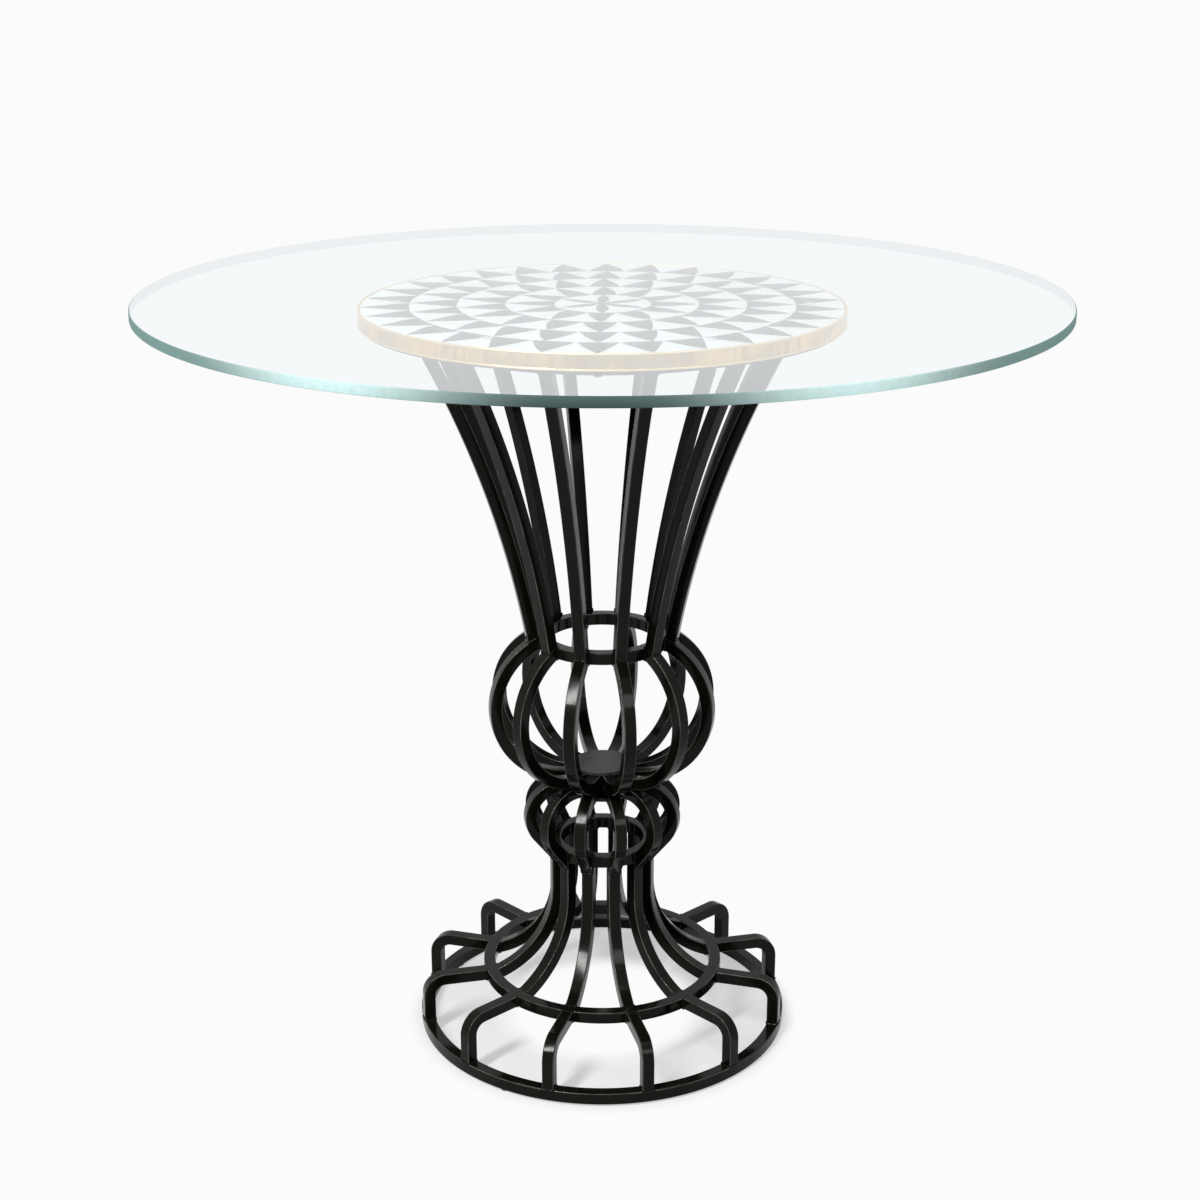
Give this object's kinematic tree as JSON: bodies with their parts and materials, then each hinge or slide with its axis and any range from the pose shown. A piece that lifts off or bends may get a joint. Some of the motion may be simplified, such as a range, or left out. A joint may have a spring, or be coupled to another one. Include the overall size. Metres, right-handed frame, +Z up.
{
  "type": "accent table",
  "caption": "Round clear glass top resting on a painted disc and a slender open pedestal of bent black square bars with a globe, a knob and a flared foot.",
  "frame": {"origin": "on the floor, under the middle of the table", "axes": "+Z up along the pedestal's axis, -Y towards the front, +X to the right seen from the front"},
  "size_m": [0.8779, 0.878, 0.766],
  "materials": {
    "black_iron": "satin black powder coat",
    "clear_glass": "clear, flat polished edge",
    "painted_board": "hand painted and varnished",
    "brass_band": "satin",
    "clear_bumper": "clear soft plastic",
    "screw_steel": "zinc plated",
    "glide_plastic": "moulded black"
  },
  "bodies": {
    "base": {"foot_ring": "black_iron", "middle_ring": "black_iron", "flare_ribs": "black_iron", "collar_ring": "black_iron", "knob_ribs": "black_iron", "knob_plate": "black_iron", "hub_plate": "black_iron", "neck_ring": "black_iron", "top_ring": "black_iron", "vase_rib_01": "black_iron", "vase_rib_02": "black_iron", "vase_rib_03": "black_iron", "vase_rib_04": "black_iron", "vase_rib_05": "black_iron", "vase_rib_06": "black_iron", "vase_rib_07": "black_iron", "vase_rib_08": "black_iron", "vase_rib_09": "black_iron", "vase_rib_10": "black_iron", "vase_rib_11": "black_iron", "vase_rib_12": "black_iron", "globe_rib_01": "black_iron", "globe_rib_02": "black_iron", "globe_rib_03": "black_iron", "globe_rib_04": "black_iron", "globe_rib_05": "black_iron", "globe_rib_06": "black_iron", "globe_rib_07": "black_iron", "globe_rib_08": "black_iron", "globe_rib_09": "black_iron", "globe_rib_10": "black_iron", "globe_rib_11": "black_iron", "globe_rib_12": "black_iron", "leg_01": "black_iron", "leg_02": "black_iron", "leg_03": "black_iron", "leg_04": "black_iron", "leg_05": "black_iron", "leg_06": "black_iron", "leg_07": "black_iron", "leg_08": "black_iron", "leg_09": "black_iron", "leg_10": "black_iron", "leg_11": "black_iron", "leg_12": "black_iron", "painted_disc": "painted_board", "edge_band": "brass_band", "bumpers": "clear_bumper", "disc_screws": "screw_steel", "glides": "glide_plastic"},
    "top": {"glass_top": "clear_glass"}
  },
  "joints": [
    {"name": "glass_lift", "type": "slide", "parent": "base", "child": "top", "axis": [0, 0, 1], "range_m": [0, 0.12]}
  ]
}
